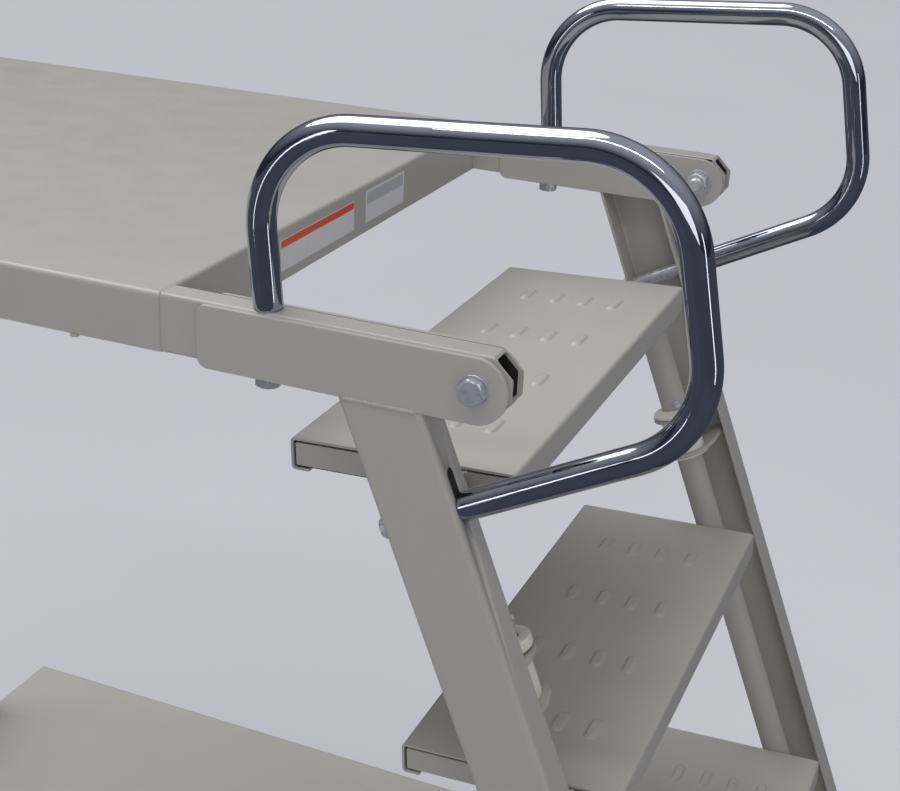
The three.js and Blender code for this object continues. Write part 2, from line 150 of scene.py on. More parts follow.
world = bpy.data.worlds.new("studio")
bpy.context.scene.world = world
world.use_nodes = True
tree = world.node_tree
tree.nodes.clear()
direction = add(tree, "ShaderNodeTexCoord").outputs["Generated"]
height = add(tree, "ShaderNodeSeparateXYZ", Vector=direction).outputs["Z"]
ceiling = add(tree, "ShaderNodeValToRGB", Fac=height)
ceiling.color_ramp.elements[0].position = 0.10
ceiling.color_ramp.elements[0].color = (0.030, 0.033, 0.050, 1.0)
ceiling.color_ramp.elements[1].position = 0.80
ceiling.color_ramp.elements[1].color = (0.50, 0.51, 0.55, 1.0)
glow = add(tree, "ShaderNodeBackground", Color=ceiling.outputs["Color"], Strength=1.0)
add(tree, "ShaderNodeOutputWorld", Surface=glow.outputs["Background"])

overhead = bpy.data.lights.new("overhead", "SUN")
overhead.energy = 1.8
overhead.angle = np.radians(50)
overhead_holder = bpy.data.objects.new("overhead", overhead)
overhead_holder.rotation_euler = Vector((-0.52, 0.14, 0.86)).to_track_quat("Z", "Y").to_euler()
bpy.context.scene.collection.objects.link(overhead_holder)

lit_spot = Vector((0.3, 0.0, 0.9))
for name, where, wide, deep, watts in (("fill", (2.2, -3.4, 2.2), 2.4, 1.6, 19),
                                       ("strip", (0.5, -1.2, 3.4), 2.6, 0.18, 12),
                                       ("strip_right", (3.0, -1.0, 1.1), 0.22, 1.6, 3),
                                       ("strip_left", (-1.5, -3.2, 1.1), 0.22, 1.6, 3)):
    lamp = bpy.data.lights.new(name, "AREA")
    lamp.shape = "RECTANGLE"
    lamp.size = wide
    lamp.size_y = deep
    lamp.energy = watts
    holder = bpy.data.objects.new(name, lamp)
    holder.location = where
    holder.rotation_euler = (lit_spot - Vector(where)).to_track_quat("-Z", "Y").to_euler()
    bpy.context.scene.collection.objects.link(holder)

# ---- Upper deck ---------------------------------------------------------------------------
# One tray of 2 mm mild steel: four skirts folded down, corners welded and dressed, then powder
# coated in a warm putty grey together with the rest of the frame.
mm = 0.001
both_sides = (("left", -1), ("right", 1))
deck_low, deck_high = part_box("upper_deck")
top = deck_high.z


def unit(vectors):
    """Each vector divided by its own length."""
    return vectors / np.maximum(np.linalg.norm(vectors, axis=-1, keepdims=True), 1e-12)


def oblong(x0, y0, x1, y1):
    """Corners of a rectangle from two opposite ones."""
    return np.array([(x0, y0), (x1, y0), (x1, y1), (x0, y1)])


def rounded(corners, radii, steps=6, closed=True):
    """Line through corners whose angles are rounded. The arc at a corner starts radius over
    tan(half angle) before it and turns evenly about a centre that lies radius over sin(half angle)
    along the bisector. One more point stands a little before and after each arc."""
    corners = np.asarray(corners, float)
    count = len(corners)
    before = unit(np.roll(corners, 1, 0) - corners)
    after = unit(np.roll(corners, -1, 0) - corners)
    half = np.arccos(np.clip((before * after).sum(1), -1, 1)) / 2
    radii = np.broadcast_to(np.asarray(radii, float), count)
    back = (radii / np.tan(half))[:, None]
    centre = corners + unit(before + after) * (radii / np.sin(half))[:, None]
    start = corners + before * back - centre
    stop = corners + after * back - centre
    turn = (np.pi - 2 * half)[:, None, None]
    share = np.linspace(0, 1, steps + 1)[None, :, None]
    arc = (np.sin((1 - share) * turn) * start[:, None] + np.sin(share * turn) * stop[:, None])
    arc = centre[:, None] + arc / np.sin(turn)
    run = np.linalg.norm(np.roll(corners, -1, 0) - corners, axis=1)
    spare = np.maximum(run - back[:, 0] - np.roll(back[:, 0], -1), 0)
    hold_after = np.minimum(0.8 * mm, 0.3 * spare)[:, None]
    hold_before = np.roll(hold_after, 1, 0)
    lead = arc[:, :1] + (before * hold_before)[:, None]
    trail = arc[:, -1:] + (after * hold_after)[:, None]
    line = np.concatenate([lead, arc, trail], 1)
    if closed:
        return line.reshape(-1, corners.shape[1])
    return np.concatenate([corners[:1], line[1:-1].reshape(-1, corners.shape[1]), corners[-1:]])


def skin(name, grid, ring=False, crease=34):
    """Closed skin over a grid of points: point j of row i joins its neighbours in the row, which
    wraps round, and in the next row. A flat face closes the first and last rows, or they join in a
    ring. The volume, a sixth of the sum of the corners' triple products, tells which way is out."""
    rows, columns = grid.shape[:2]
    i = np.arange(rows if ring else rows - 1)[:, None]
    j = np.arange(columns)[None, :]
    nextj = (j + 1) % columns
    nexti = (i + 1) % rows
    quads = np.stack([i * columns + j, i * columns + nextj, nexti * columns + nextj,
                      nexti * columns + j], -1).reshape(-1, 4)
    points = grid.reshape(-1, 3)
    local = points - points.mean(0)
    ends = [] if ring else [np.arange(columns)[::-1], (rows - 1) * columns + np.arange(columns)]
    fans = [np.stack([np.full(columns - 2, e[0]), e[1:-1], e[2:]], 1) for e in ends]
    facets = np.concatenate([quads[:, [0, 1, 2]], quads[:, [0, 2, 3]], *fans])
    a, b, c = (local[facets[:, k]] for k in range(3))
    if (a * np.cross(b, c)).sum() < 0:
        quads = quads[:, ::-1]
        ends = [e[::-1] for e in ends]
    mesh = bpy.data.meshes.new(name)
    mesh.from_pydata(points.tolist(), [], quads.tolist() + [e.tolist() for e in ends])
    mesh.polygons.foreach_set("use_smooth", np.ones(len(mesh.polygons), bool))
    mesh.set_sharp_from_angle(angle=np.radians(crease))
    made = bpy.data.objects.new(name, mesh)
    bpy.context.scene.collection.objects.link(made)
    return made


def fit(made, finish, body, *nodes):
    """Gives a piece the material of its finish, hangs it on its body and lets it stand
    for its plain solids."""
    material, slot = finish
    made.data.materials.append(material)
    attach(made, body)
    if nodes:
        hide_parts(*nodes)
    return made


def quarter(radius, centre_inset, centre_z, start, stop, steps=5):
    """Fold of a sheet as (inset, height) points: centre plus radius times (cos, sin)."""
    angle = np.radians(np.linspace(start, stop, steps + 1))
    return np.stack([centre_inset + radius * np.cos(angle), centre_z + radius * np.sin(angle)], 1)


def tray(name, low, high, sheet=2 * mm, fold=4.5 * mm, corner=3 * mm):
    """Folded tray: rings of a rounded rectangle. The rings go from the middle of the top out over
    the fold, down the skirt, round its cut edge and back up inside, each with its own inset."""
    inner = fold - sheet
    middle = 0.3 * min(high.x - low.x, high.y - low.y)
    z = high.z
    line = np.concatenate([
        [(middle, z), (fold + 30 * mm, z), (fold + 1 * mm, z)],
        quarter(fold, fold, z - fold, 90, 180),
        [(0, z - fold - 1 * mm), (0, low.z + 1 * mm)],
        [(0, low.z + 0.3 * mm), (0.3 * mm, low.z), (sheet - 0.3 * mm, low.z),
         (sheet, low.z + 0.3 * mm), (sheet, z - fold - 1 * mm)],
        quarter(inner, fold, z - fold, 180, 90),
        [(fold + 1 * mm, z - sheet), (fold + 30 * mm, z - sheet), (middle, z - sheet)],
    ])
    rings = []
    for inset, level in line:
        plan = rounded(oblong(low.x + inset, low.y + inset, high.x - inset, high.y - inset),
                       max(corner - inset, 1.2 * mm))
        rings.append(np.column_stack([plan, np.full(len(plan), level)]))
    return skin(name, np.array(rings))


# Powder-coated mild steel, sprayed dry and baked: a semi-gloss skin, even in colour, with the fine
# orange peel of melted powder (ripples about 3 mm apart) and a finer grain in the gloss.
powder_coat, tree, shader, place = new_material("powder_coated_steel")
cloud = noise(tree, place, 5.0, 3.0)
peel = noise(tree, place, 330.0, 2.0)
grain = noise(tree, place, 1500.0, 1.0)
handling = noise(tree, place, 22.0, 6.0, Roughness=0.7)
body_tone = blend(tree, cloud, tone("#aba8a1"), tone("#b3b0a9"))
pits = remap(tree, grain, 0.68, 0.78, 0.0, 0.16)
ripple = add(tree, "ShaderNodeMath", {"operation": "MULTIPLY_ADD"}, _0=grain, _1=0.25, _2=peel)
feed(tree, shader, Base_Color=blend(tree, pits, body_tone, tone("#7f7c76")),
     Roughness=remap(tree, handling, 0.3, 0.75, 0.30, 0.44),
     Normal=bump(tree, ripple.outputs["Value"], 0.35, 0.00014))
painted = (powder_coat, "painted_steel")

deck = tray("deck_tray", deck_low, deck_high)
fit(deck, painted, "frame", "upper_deck")

# ---- Arms ---------------------------------------------------------------------------------
# Two lengths of 25 x 54 mm rectangular steel tube carry on flush from the deck's sides. Their front
# ends are left open, with both corners sawn off at 45 degrees; a black sleeve inside is painted
# shade.
pivot = (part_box("pivot_bolt_left")[0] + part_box("pivot_bolt_left")[1]) / 2
arm_wall = 2.2 * mm
arm_clip = 17 * mm
signs = oblong(-1, -1, 1, 1)


def dense(outline, step):
    """The same closed outline with more points on its long runs: the lengths along it of the old
    points and of even steps are put in order, and both coordinates are read off between them."""
    looped = np.concatenate([outline, outline[:1]])
    length = np.concatenate([[0], np.cumsum(np.linalg.norm(np.diff(looped, axis=0), axis=1))])
    even = np.arange(step, length[-1], step)
    near = np.abs(even[:, None] - length[None, :]).min(1) < 0.3 * step
    marks = np.union1d(length[:-1], even[~near])
    return np.column_stack([np.interp(marks, length, looped[:, k]) for k in (0, 1)])


# Moulded EPDM rubber: almost black, matt, slightly dusty, with the faint texture of its mould.
rubber, tree, shader, place = new_material("moulded_rubber")
dust = noise(tree, place, 45.0, 5.0, Roughness=0.7)
mould_grain = noise(tree, place, 700.0, 2.0)
feed(tree, shader, Base_Color=blend(tree, dust, tone("#101011"), tone("#222223")),
     Normal=bump(tree, mould_grain, 0.4, 0.0002), Roughness=0.78)
# This black finish serves the rubber parts and also the painted shade sheets in gaps, grooves and
# hollows.
black_rubber_and_shade = (rubber, "rubber")

for side, sign in both_sides:
    low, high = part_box(f"arm_tube_{side}")
    mid_y, mid_z = (low.y + high.y) / 2, (low.z + high.z) / 2
    half = np.array([(high.y - low.y) / 2, (high.z - low.z) / 2])
    outer = dense(rounded(signs * half, 3 * mm), 1.7 * mm)
    # The bore follows the outer outline point by point, drawn in by the wall.
    bore = outer * (half - arm_wall) / half
    taper = lambda z: high.x - np.maximum(np.abs(z) - (half[1] - arm_clip), 0)
    rows = []
    for outline, along in ((outer, 0), (outer, 1), (bore, 1), (bore, 0)):
        x = taper(outline[:, 1]) if along else np.full(len(outline), low.x)
        rows.append(np.column_stack([x, mid_y + outline[:, 0], mid_z + outline[:, 1]]))
    arm = skin(f"arm_{side}", np.array(rows), ring=True)
    fit(arm, painted, "frame", f"arm_tube_{side}")
    # Painted shade: a black sleeve a little inside the bore darkens the open tube's inside.
    rows = []
    for shrink, along_x in ((0.1, 0), (0.1, 1), (0.7, 1), (0.7, 0)):
        bore_shade_line = bore * (half - arm_wall - shrink * mm) / (half - arm_wall)
        x = taper(bore_shade_line[:, 1]) - 4 * mm if along_x else np.full(len(bore_shade_line), high.x - 150 * mm)
        rows.append(np.column_stack([x, mid_y + bore_shade_line[:, 0], mid_z + bore_shade_line[:, 1]]))
    bore_shade = skin(f"arm_bore_shade_{side}", np.array(rows), ring=True)
    fit(bore_shade, black_rubber_and_shade, "frame")

# ---- Pivot plates -------------------------------------------------------------------------
# Laser-cut 5 mm plates lie on both sides of each arm and carry the ladder. The front is a full
# half circle round the bolt, and the rear corners have a small radius.


def plate(name, corners, radii, y0, y1, edge=0.7 * mm, steps=10):
    """Flat plate with softened edges, drawn in XZ and given its thickness along Y. Its rings shrink
    by edge x (1 - cos) while they move out by edge x sin, so each edge is a quarter circle."""
    corners = np.asarray(corners, float)
    before = unit(corners - np.roll(corners, 1, 0))
    after = unit(np.roll(corners, -1, 0) - corners)
    turning = np.sign((before[:, 0] * after[:, 1] - before[:, 1] * after[:, 0]).sum())
    normal = lambda run: np.stack([-run[:, 1], run[:, 0]], 1) * turning
    pull = normal(before) + normal(after)
    pull = pull / (pull * normal(after)).sum(1, keepdims=True)
    angle = np.linspace(0, np.pi / 2, 5)
    inset = np.concatenate([[edge * 1.9], edge * (1 - np.sin(angle)), edge * (1 - np.cos(angle)),
                            [edge * 1.9]])
    depth = np.concatenate([[0], edge * (1 - np.cos(angle)), (y1 - y0) - edge * (1 - np.sin(angle)),
                            [y1 - y0]])
    rings = []
    for shrink, across in zip(inset, depth):
        line = rounded(corners + pull * shrink, np.maximum(np.asarray(radii) - shrink, 0.25 * mm),
                       steps)
        rings.append(np.column_stack([line[:, 0], np.full(len(line), y0 + across), line[:, 1]]))
    return skin(name, np.array(rings))


groove_shade_faces = (338.9, 341.2)
for side in ("left", "right"):
    for layer in ("outer", "inner"):
        node = f"pivot_plate_{layer}_{side}"
        low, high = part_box(node)
        nose = (high.z - low.z) / 2 - 0.05 * mm
        made = plate(f"cheek_{layer}_{side}", oblong(low.x, low.z, high.x, high.z),
                     [9 * mm, nose, nose, 9 * mm], low.y, high.y)
        fit(made, painted, "frame", node)
    # A thin black strip in the groove between the arm and its inner plate is painted shade, showing
    # the groove as a dark line.
    faces = sorted(np.sign(low.y) * face * mm for face in groove_shade_faces)
    groove_shade = plate(f"arm_groove_shade_{side}", oblong(low.x + 4 * mm, top - 2.6 * mm, high.x - 16 * mm,
                                            top - 0.9 * mm),
                 [0.3 * mm] * 4, faces[0], faces[1], edge=0.2 * mm, steps=3)
    fit(groove_shade, black_rubber_and_shade, "frame")

# ---- Pivot bolts --------------------------------------------------------------------------
# A zinc-plated M16 hex bolt holds each ladder side between its plates: chamfered head and plain
# washer outside, nut and a few threads of the shank inside.


def along(axis, origin, local):
    """Points drawn round Z (x, y across, z along) turned so that Z lies on the axis."""
    axis = unit(np.asarray(axis, float))
    helper = np.array([0.0, 1.0, 0.0]) if abs(axis[1]) < 0.9 else np.array([1.0, 0.0, 0.0])
    first = unit(np.cross(helper, axis))
    second = np.cross(axis, first)
    return np.asarray(origin, float) + local @ np.stack([first, second, axis])


def circles(profile, around, flats=0, turn=0.0):
    """A circle round Z for each (radius, height) of the profile. With flats, the radius is no more
    than that of a regular hexagon with that distance from its middle to its sides, so a chamfer
    turned on a hexagon leaves its curved corners."""
    angle = np.linspace(0, 2 * np.pi, around, endpoint=False)[None, :]
    radius = np.asarray([p[0] for p in profile])[:, None] + 0 * angle
    height = np.asarray([p[1] for p in profile])[:, None] + 0 * angle
    if flats:
        wedge = (angle % (np.pi / 3)) - np.pi / 6
        radius = np.minimum(radius, flats / np.cos(wedge))
    return np.stack([radius * np.cos(angle + turn), radius * np.sin(angle + turn), height], -1)


def turned(name, profile, axis, origin, around=48, flats=0, turn=0.0, ring=False):
    """Part of revolution: the profile's circles, laid along the axis from the origin."""
    return skin(name, along(axis, origin, circles(profile, around, flats, turn)), ring=ring)


def hex_head(name, axis, origin, flats, thick, turn=0.3):
    """Bolt head or nut on its base: washer face, six flats, and a 30 degree chamfer on top."""
    corner = flats / np.cos(np.pi / 6)
    rise = (corner - 0.93 * flats) * np.tan(np.radians(30))
    profile = [(0.5 * flats, 0), (0.9 * flats, 0), (0.93 * flats, 0.3 * mm), (corner, 0.7 * mm),
               (corner, thick - rise), (0.5 * (corner + 0.93 * flats), thick - rise / 2),
               (0.93 * flats, thick), (0.88 * flats, thick), (0.5 * flats, thick - 0.15 * mm)]
    return turned(name, profile, axis, origin, around=72, flats=flats, turn=turn)


def washer(name, axis, origin, inside, outside, thick):
    """Plain washer with rolled edges."""
    e = 0.3 * mm
    profile = [(inside, e), (inside + e, 0), (outside - e, 0), (outside, e), (outside, thick - e),
               (outside - e, thick), (inside + e, thick), (inside, thick - e)]
    return turned(name, profile, axis, origin, around=64, ring=True)


def threaded(name, axis, origin, radius, length, pitch):
    """Threaded end: the radius falls and rises once each pitch, and the tip is chamfered."""
    height = np.arange(0, length - pitch, pitch / 4)
    wave = radius - 0.3 * pitch * (1 + np.cos(2 * np.pi * height / pitch))
    profile = [(0.6 * radius, 0), *zip(wave, height), (0.82 * radius, length),
               (0.4 * radius, length)]
    return turned(name, profile, axis, origin, around=32)


# Zinc-plated steel, electroplated bright: bluish silver, softly blurred, with a fine crystalline
# mottle about a millimetre across and small duller patches.
zinc, tree, shader, place = new_material("zinc_plated_steel")
spangle = noise(tree, place, 900.0, 3.0)
patch = noise(tree, place, 140.0, 3.0)
feed(tree, shader, Base_Color=blend(tree, patch, tone("#b4b9c2"), tone("#dfe2e7")),
     Roughness=remap(tree, patch, 0.3, 0.7, 0.22, 0.4), Normal=bump(tree, spangle, 0.3, 0.0001),
     Metallic=0.6)
plated = (zinc, "zinc_steel")

bolt_radius = 7.9 * mm
shank_long = 35.5 * mm
head_washer = 1.2 * mm
nut_washer = 1.6 * mm
for side, sign in both_sides:
    out = np.array([0.0, sign, 0.0])
    outer_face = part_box(f"pivot_plate_outer_{side}")[0 if sign < 0 else 1].y
    inner_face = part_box(f"pivot_plate_inner_{side}")[1 if sign < 0 else 0].y
    seat = (pivot.x, outer_face, pivot.z)
    rest = (pivot.x, inner_face, pivot.z)
    fit(washer(f"pivot_washer_{side}", out, seat, 8 * mm, 13 * mm, head_washer), plated, "frame")
    head = hex_head(f"pivot_head_{side}", out, np.array(seat) + out * head_washer, 10.6 * mm,
                    7.5 * mm)
    fit(head, plated, "frame", f"pivot_bolt_{side}")
    fit(washer(f"pivot_nut_washer_{side}", -out, rest, 8 * mm, 15 * mm, nut_washer), plated,
        "frame")
    nut = hex_head(f"pivot_nut_{side}", -out, np.array(rest) - out * nut_washer, 11.7 * mm, 11 * mm,
                   0.1)
    fit(nut, plated, "frame")
    tail = threaded(f"pivot_thread_{side}", -out, np.array(rest) - out * 12 * mm, bolt_radius,
                    8 * mm, 2 * mm)
    fit(tail, plated, "frame")
    shank = turned(f"pivot_shank_{side}", [(5 * mm, 0), (bolt_radius, 0), (bolt_radius, shank_long),
                                           (5 * mm, shank_long)], -out, seat)
    fit(shank, plated, "frame")

# ---- Ladder stiles ------------------------------------------------------------------------
# Channels folded from 3 mm sheet, open towards the treads, lean 22 degrees. They are welded under
# the pivot plates, and a slot near the top of each front flange lets the handle's bolt be set.
slope = np.radians(22)
down = np.array([np.sin(slope), 0.0, -np.cos(slope)])
across = np.array([np.cos(slope), 0.0, np.sin(slope)])
ladder_top = np.array([pivot.x - 105.4 * mm, 0.0, top])
channel_half = 35 * mm
channel_depth = 35 * mm
channel_sheet = 3 * mm
slot_drop = 138 * mm
slot_radius = 6 * mm
slot_straight_half = 13 * mm


def on_ladder(drop, y=0.0, out=0.0):
    """Point on the ladder's centre line at a drop below the deck, moved out square to the slope."""
    return ladder_top + down * drop / np.cos(slope) + across * out + np.array([0, y, 0])


for side, sign in both_sides:
    node = f"ladder_stile_{side}"
    low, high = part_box(node)
    face = low.y if sign < 0 else high.y
    h, d, s = channel_half, channel_depth, channel_sheet
    outline = rounded([(-h, 0), (h, 0), (h, d), (h - s, d), (h - s, s), (s - h, s), (s - h, d),
                       (-h, d)],
                      [4.5 * mm, 4.5 * mm, 0.4 * mm, 0.4 * mm, 1.7 * mm, 1.7 * mm, 0.4 * mm,
                       0.4 * mm], 5)
    rows = []
    for level in np.linspace(low.z, high.z, 5):
        # Slid along the slope until the cut is level.
        slide = (top - level + outline[:, 0] * np.sin(slope)) / np.cos(slope)
        spot = ladder_top + outline[:, :1] * across + slide[:, None] * down
        spot[:, 1] = face - sign * outline[:, 1]
        rows.append(spot)
    stile = skin(f"stile_{side}", np.array(rows))
    # The slot is cut with a round-ended punch through the front flange only.
    angle = np.linspace(0, 2 * np.pi, 32, endpoint=False)
    reach = np.where(np.sin(angle) > 0, slot_straight_half, -slot_straight_half)
    stadium = np.stack([slot_radius * np.cos(angle), reach + slot_radius * np.sin(angle)], 1)
    stadium = stadium[:, :1] * np.array([0, 1, 0]) + stadium[:, 1:] * down
    centre = on_ladder(slot_drop, face - sign * (channel_depth / 2 - 2 * mm), channel_half)
    punch = skin("punch", np.array([centre + across * t + stadium for t in (-10 * mm, 10 * mm)]))
    cut = stile.modifiers.new("slot", "BOOLEAN")
    cut.operation = "DIFFERENCE"
    cut.solver = "EXACT"
    cut.object = punch
    bpy.context.view_layer.update()
    punched = stile.evaluated_get(bpy.context.evaluated_depsgraph_get())
    finished = bpy.data.meshes.new_from_object(punched)
    stile.modifiers.clear()
    stile.data = finished
    bpy.data.objects.remove(punch)
    fit(stile, painted, "frame", node)
    # A black sheet inside the flange behind the slot is painted shade that keeps the slot dark.
    slot_shade_rows = [centre - across * t + 0.98 * stadium for t in (0.9 * mm, 2.4 * mm)]
    fit(skin(f"slot_painted_shade_{side}", np.array(slot_shade_rows)), black_rubber_and_shade, "frame")

# ---- Weld beads ---------------------------------------------------------------------------
# Short fillet welds, laid before coating, so they show as low ripples under the same paint. They
# run under the plates along the stile tops, round the arm roots and under the posts.


def tube(name, line, radius, side_on, sides=24, ring=False):
    """Round tube along a line: at each point a circle, radius x (cos of side_on + sin of the cross
    product of the run with it). The radius may change along the line."""
    line = np.asarray(line, float)
    run = unit(np.gradient(line, axis=0))
    first = unit(np.asarray(side_on, float) - run * (run @ np.asarray(side_on, float))[:, None])
    second = np.cross(run, first)
    angle = np.linspace(0, 2 * np.pi, sides, endpoint=False)[None, :, None]
    reach = np.broadcast_to(np.asarray(radius, float), len(line))[:, None, None]
    circle = np.cos(angle) * first[:, None] + np.sin(angle) * second[:, None]
    return skin(name, line[:, None] + reach * circle, ring)


def bead(name, start, stop, size, seed):
    """Weld bead: a tube whose radius swells once every 2.6 mm and wanders a little between."""
    start, stop = np.asarray(start, float), np.asarray(stop, float)
    length = np.linalg.norm(stop - start)
    share = np.linspace(0, 1, max(int(length / (0.65 * mm)), 12))
    reach = share * length
    wander = np.sin(reach * 410 + seed) * np.sin(reach * 173 + 2 * seed)
    swell = size * (1 + 0.14 * np.cos(2 * np.pi * reach / (2.6 * mm)) + 0.16 * wander)
    swell = swell * np.clip(np.minimum(share, 1 - share) * length / size * 0.6 + 0.25, 0, 1)
    level = abs(start[2] - stop[2]) < 0.5 * length
    side_on = (0.3, 0.2, 1.0) if level else (1.0, 0.3, 0.1)
    made = tube(name, start + (stop - start) * share[:, None], swell, side_on, sides=10)
    return fit(made, painted, "frame")


plate_proud = 5.3 * mm
for side, sign in both_sides:
    face = sign * (deck_high.y + plate_proud)
    plate_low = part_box(f"pivot_plate_outer_{side}")[0].z
    stile_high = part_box(f"ladder_stile_{side}")[1].z
    middle = on_ladder(top - stile_high)[0]
    wide = channel_half / np.cos(slope)
    level = (plate_low + stile_high) / 2
    bead(f"weld_outer_{side}", (middle - wide + 4 * mm, face - sign * 1.0 * mm, level),
         (middle + wide - 4 * mm, face - sign * 1.0 * mm, level), 2.2 * mm, 1.0)
    for tag, x, seed in (("front", middle + wide - 3 * mm, 2.0),
                         ("rear", middle - wide + 3 * mm, 3.0)):
        bead(f"weld_{tag}_{side}", (x, face - sign * 3 * mm, level),
             (x, face - sign * 32 * mm, level), 1.8 * mm, seed)
    root = deck_high.x + 0.2 * mm
    flush = sign * (deck_high.y - 0.55 * mm)
    bead(f"weld_arm_side_{side}", (root, flush, top - 3 * mm), (root, flush, deck_low.z + 2 * mm),
         0.95 * mm, 4.0)
    bead(f"weld_arm_top_{side}", (root, sign * (deck_high.y - 2 * mm), top - 0.6 * mm),
         (root, sign * (deck_high.y - 25 * mm), top - 0.6 * mm), 1.0 * mm, 5.0)
    inner_x, inner_y = root + 0.4 * mm, sign * (deck_high.y - 25.6 * mm)
    bead(f"weld_arm_inner_{side}", (inner_x, inner_y, top - 6 * mm),
         (inner_x, inner_y, deck_low.z + 4 * mm), 1.6 * mm, 6.0)

# ---- Grab handles -------------------------------------------------------------------------
# One-inch steel tube bent in three places and chrome plated. It stands on the arm, bolted from
# below, rises, runs forward over the ladder and comes back to the stile's front flange.
grab_radius = 12.7 * mm
small_washer = 1.4 * mm

# Chromium plate on polished steel: a hard dark mirror with a faint blue cast, broken only by long
# soft waves left by tube drawing and polishing.
chrome, tree, shader, place = new_material("chrome_plated_steel")
draw_marks = noise(tree, place, 60.0, 2.0)
haze = noise(tree, place, 35.0, 5.0, Roughness=0.65)
feed(tree, shader, Base_Color=blend(tree, haze, tone("#abafbc"), tone("#bbbfcb")),
     Roughness=remap(tree, haze, 0.4, 0.8, 0.045, 0.16),
     Normal=bump(tree, draw_marks, 0.12, 0.0006), Metallic=1.0)
chromed = (chrome, "chrome_steel")

for side, sign in both_sides:
    node = f"grab_handle_{side}"
    y = sign * (deck_high.y - grab_radius)
    bends = np.array([(-192, 1), (-205, 151.8), (144.8, 176.8), (187.6, -36.3), (-2.4, -136.7)])
    bends = np.column_stack([pivot.x + bends[:, 0] * mm, np.full(5, y), top + bends[:, 1] * mm])
    run_in = unit(bends[-1] - bends[-2])
    line = rounded(bends, np.array([20, 86, 86, 86, 20]) * mm, 22, closed=False)
    # The last ring is cut on the flange's slope.
    run = unit(np.gradient(line, axis=0))[:, None]
    angle = np.linspace(0, 2 * np.pi, 40, endpoint=False)[None, :, None]
    first = np.array([0.0, 1.0, 0.0])
    second = np.cross(run, first)
    grid = line[:, None] + grab_radius * (np.cos(angle) * first + np.sin(angle) * second)
    flange = (ladder_top @ across) + channel_half + 0.2 * mm
    gap = (grid[-1] @ across - flange) / (run_in @ across)
    grid[-1] = grid[-1] - gap[:, None] * run_in
    lip = grid[-1] + (bends[-1] - grid[-1]) * 0.06
    grid[-1] = grid[-1] - run_in * 0.8 * mm
    handle = skin(f"grab_rail_{side}", np.concatenate([grid, lip[None]]))
    fit(handle, chromed, "frame", node)
    foot = turned(f"grab_foot_spigot_{side}", oblong(10, -0.4, 11.6, 1.6) * mm, (0, 0, 1),
                  (bends[0][0], y, top), around=56)
    fit(foot, chromed, "frame")
    under = (bends[0][0], y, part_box(f"arm_tube_{side}")[0].z)
    under_washer = washer(f"grab_foot_washer_{side}", (0, 0, -1), under, 6 * mm, 12 * mm,
                          small_washer)
    fit(under_washer, plated, "frame")
    foot_bolt = hex_head(f"grab_foot_bolt_{side}", (0, 0, -1),
                         np.array(under) - (0, 0, small_washer), 10.2 * mm, 14 * mm)
    fit(foot_bolt, plated, "frame")
    # The long bolt from behind the stile runs up into the handle's lower end through a sleeve.
    behind = (ladder_top @ across) - channel_half
    reach = (bends[-1] @ across - behind) / (run_in @ across) * -1
    tie_seat = bends[-1] + run_in * reach
    tie_washer = washer(f"tie_washer_{side}", run_in, tie_seat + run_in * 1.5 * mm, 5 * mm, 11 * mm,
                        small_washer)
    fit(tie_washer, plated, "frame")
    tie_head = hex_head(f"tie_head_{side}", run_in, tie_seat + run_in * 2.9 * mm, 9.3 * mm,
                        6.4 * mm)
    fit(tie_head, plated, "frame", f"handle_tie_bolt_{side}")
    sleeve_start = bends[-1] - run_in * gap.mean()
    sleeve_long = np.linalg.norm(tie_seat - sleeve_start) - 7 * mm
    r, e = 8.1 * mm, 0.5 * mm
    profile = [(5 * mm, 0), (r - e, 0), (r, e), (r, sleeve_long - e), (r - e, sleeve_long),
               (5 * mm, sleeve_long)]
    sleeve = turned(f"tie_sleeve_{side}", profile, run_in, sleeve_start + run_in * 3.4 * mm)
    fit(sleeve, plated, "frame")

# ---- Treads -------------------------------------------------------------------------------
# Folded from 2.5 mm sheet with flanges front and rear and a short lip under each. Four rows of
# four long ovals are pressed up through the top for grip. A plate closes each end, nearly flush,
# with a dark gap round it.
tread_tilt = np.radians(3)
tread_sheet = 2.5 * mm
tread_deep = 220 * mm
tread_flange = 32 * mm
tread_lip = 18 * mm
tread_nose, tread_drop = 8, 141
tread_run, tread_rise = 121.21, 300
end_gap = 2.2 * mm
end_proud = 2 * mm
shade_sheet_gap = 0.1 * mm
grip_x = np.array([-160, -125, -91, -56]) * mm
grip_y = np.array([-187, -62, 62, 187]) * mm
grip_half_long = 10.5 * mm
grip_radius = 7 * mm
grip_rise = 2.4 * mm


def spread(low, high, spots, near, fine, coarse):
    """Positions from low to high, fine within near of any spot and coarse elsewhere."""
    every = np.arange(low, high, fine)
    close = np.abs(every[:, None] - spots[None, :]).min(1) < near
    return np.union1d(every[close], np.arange(low, high, coarse))


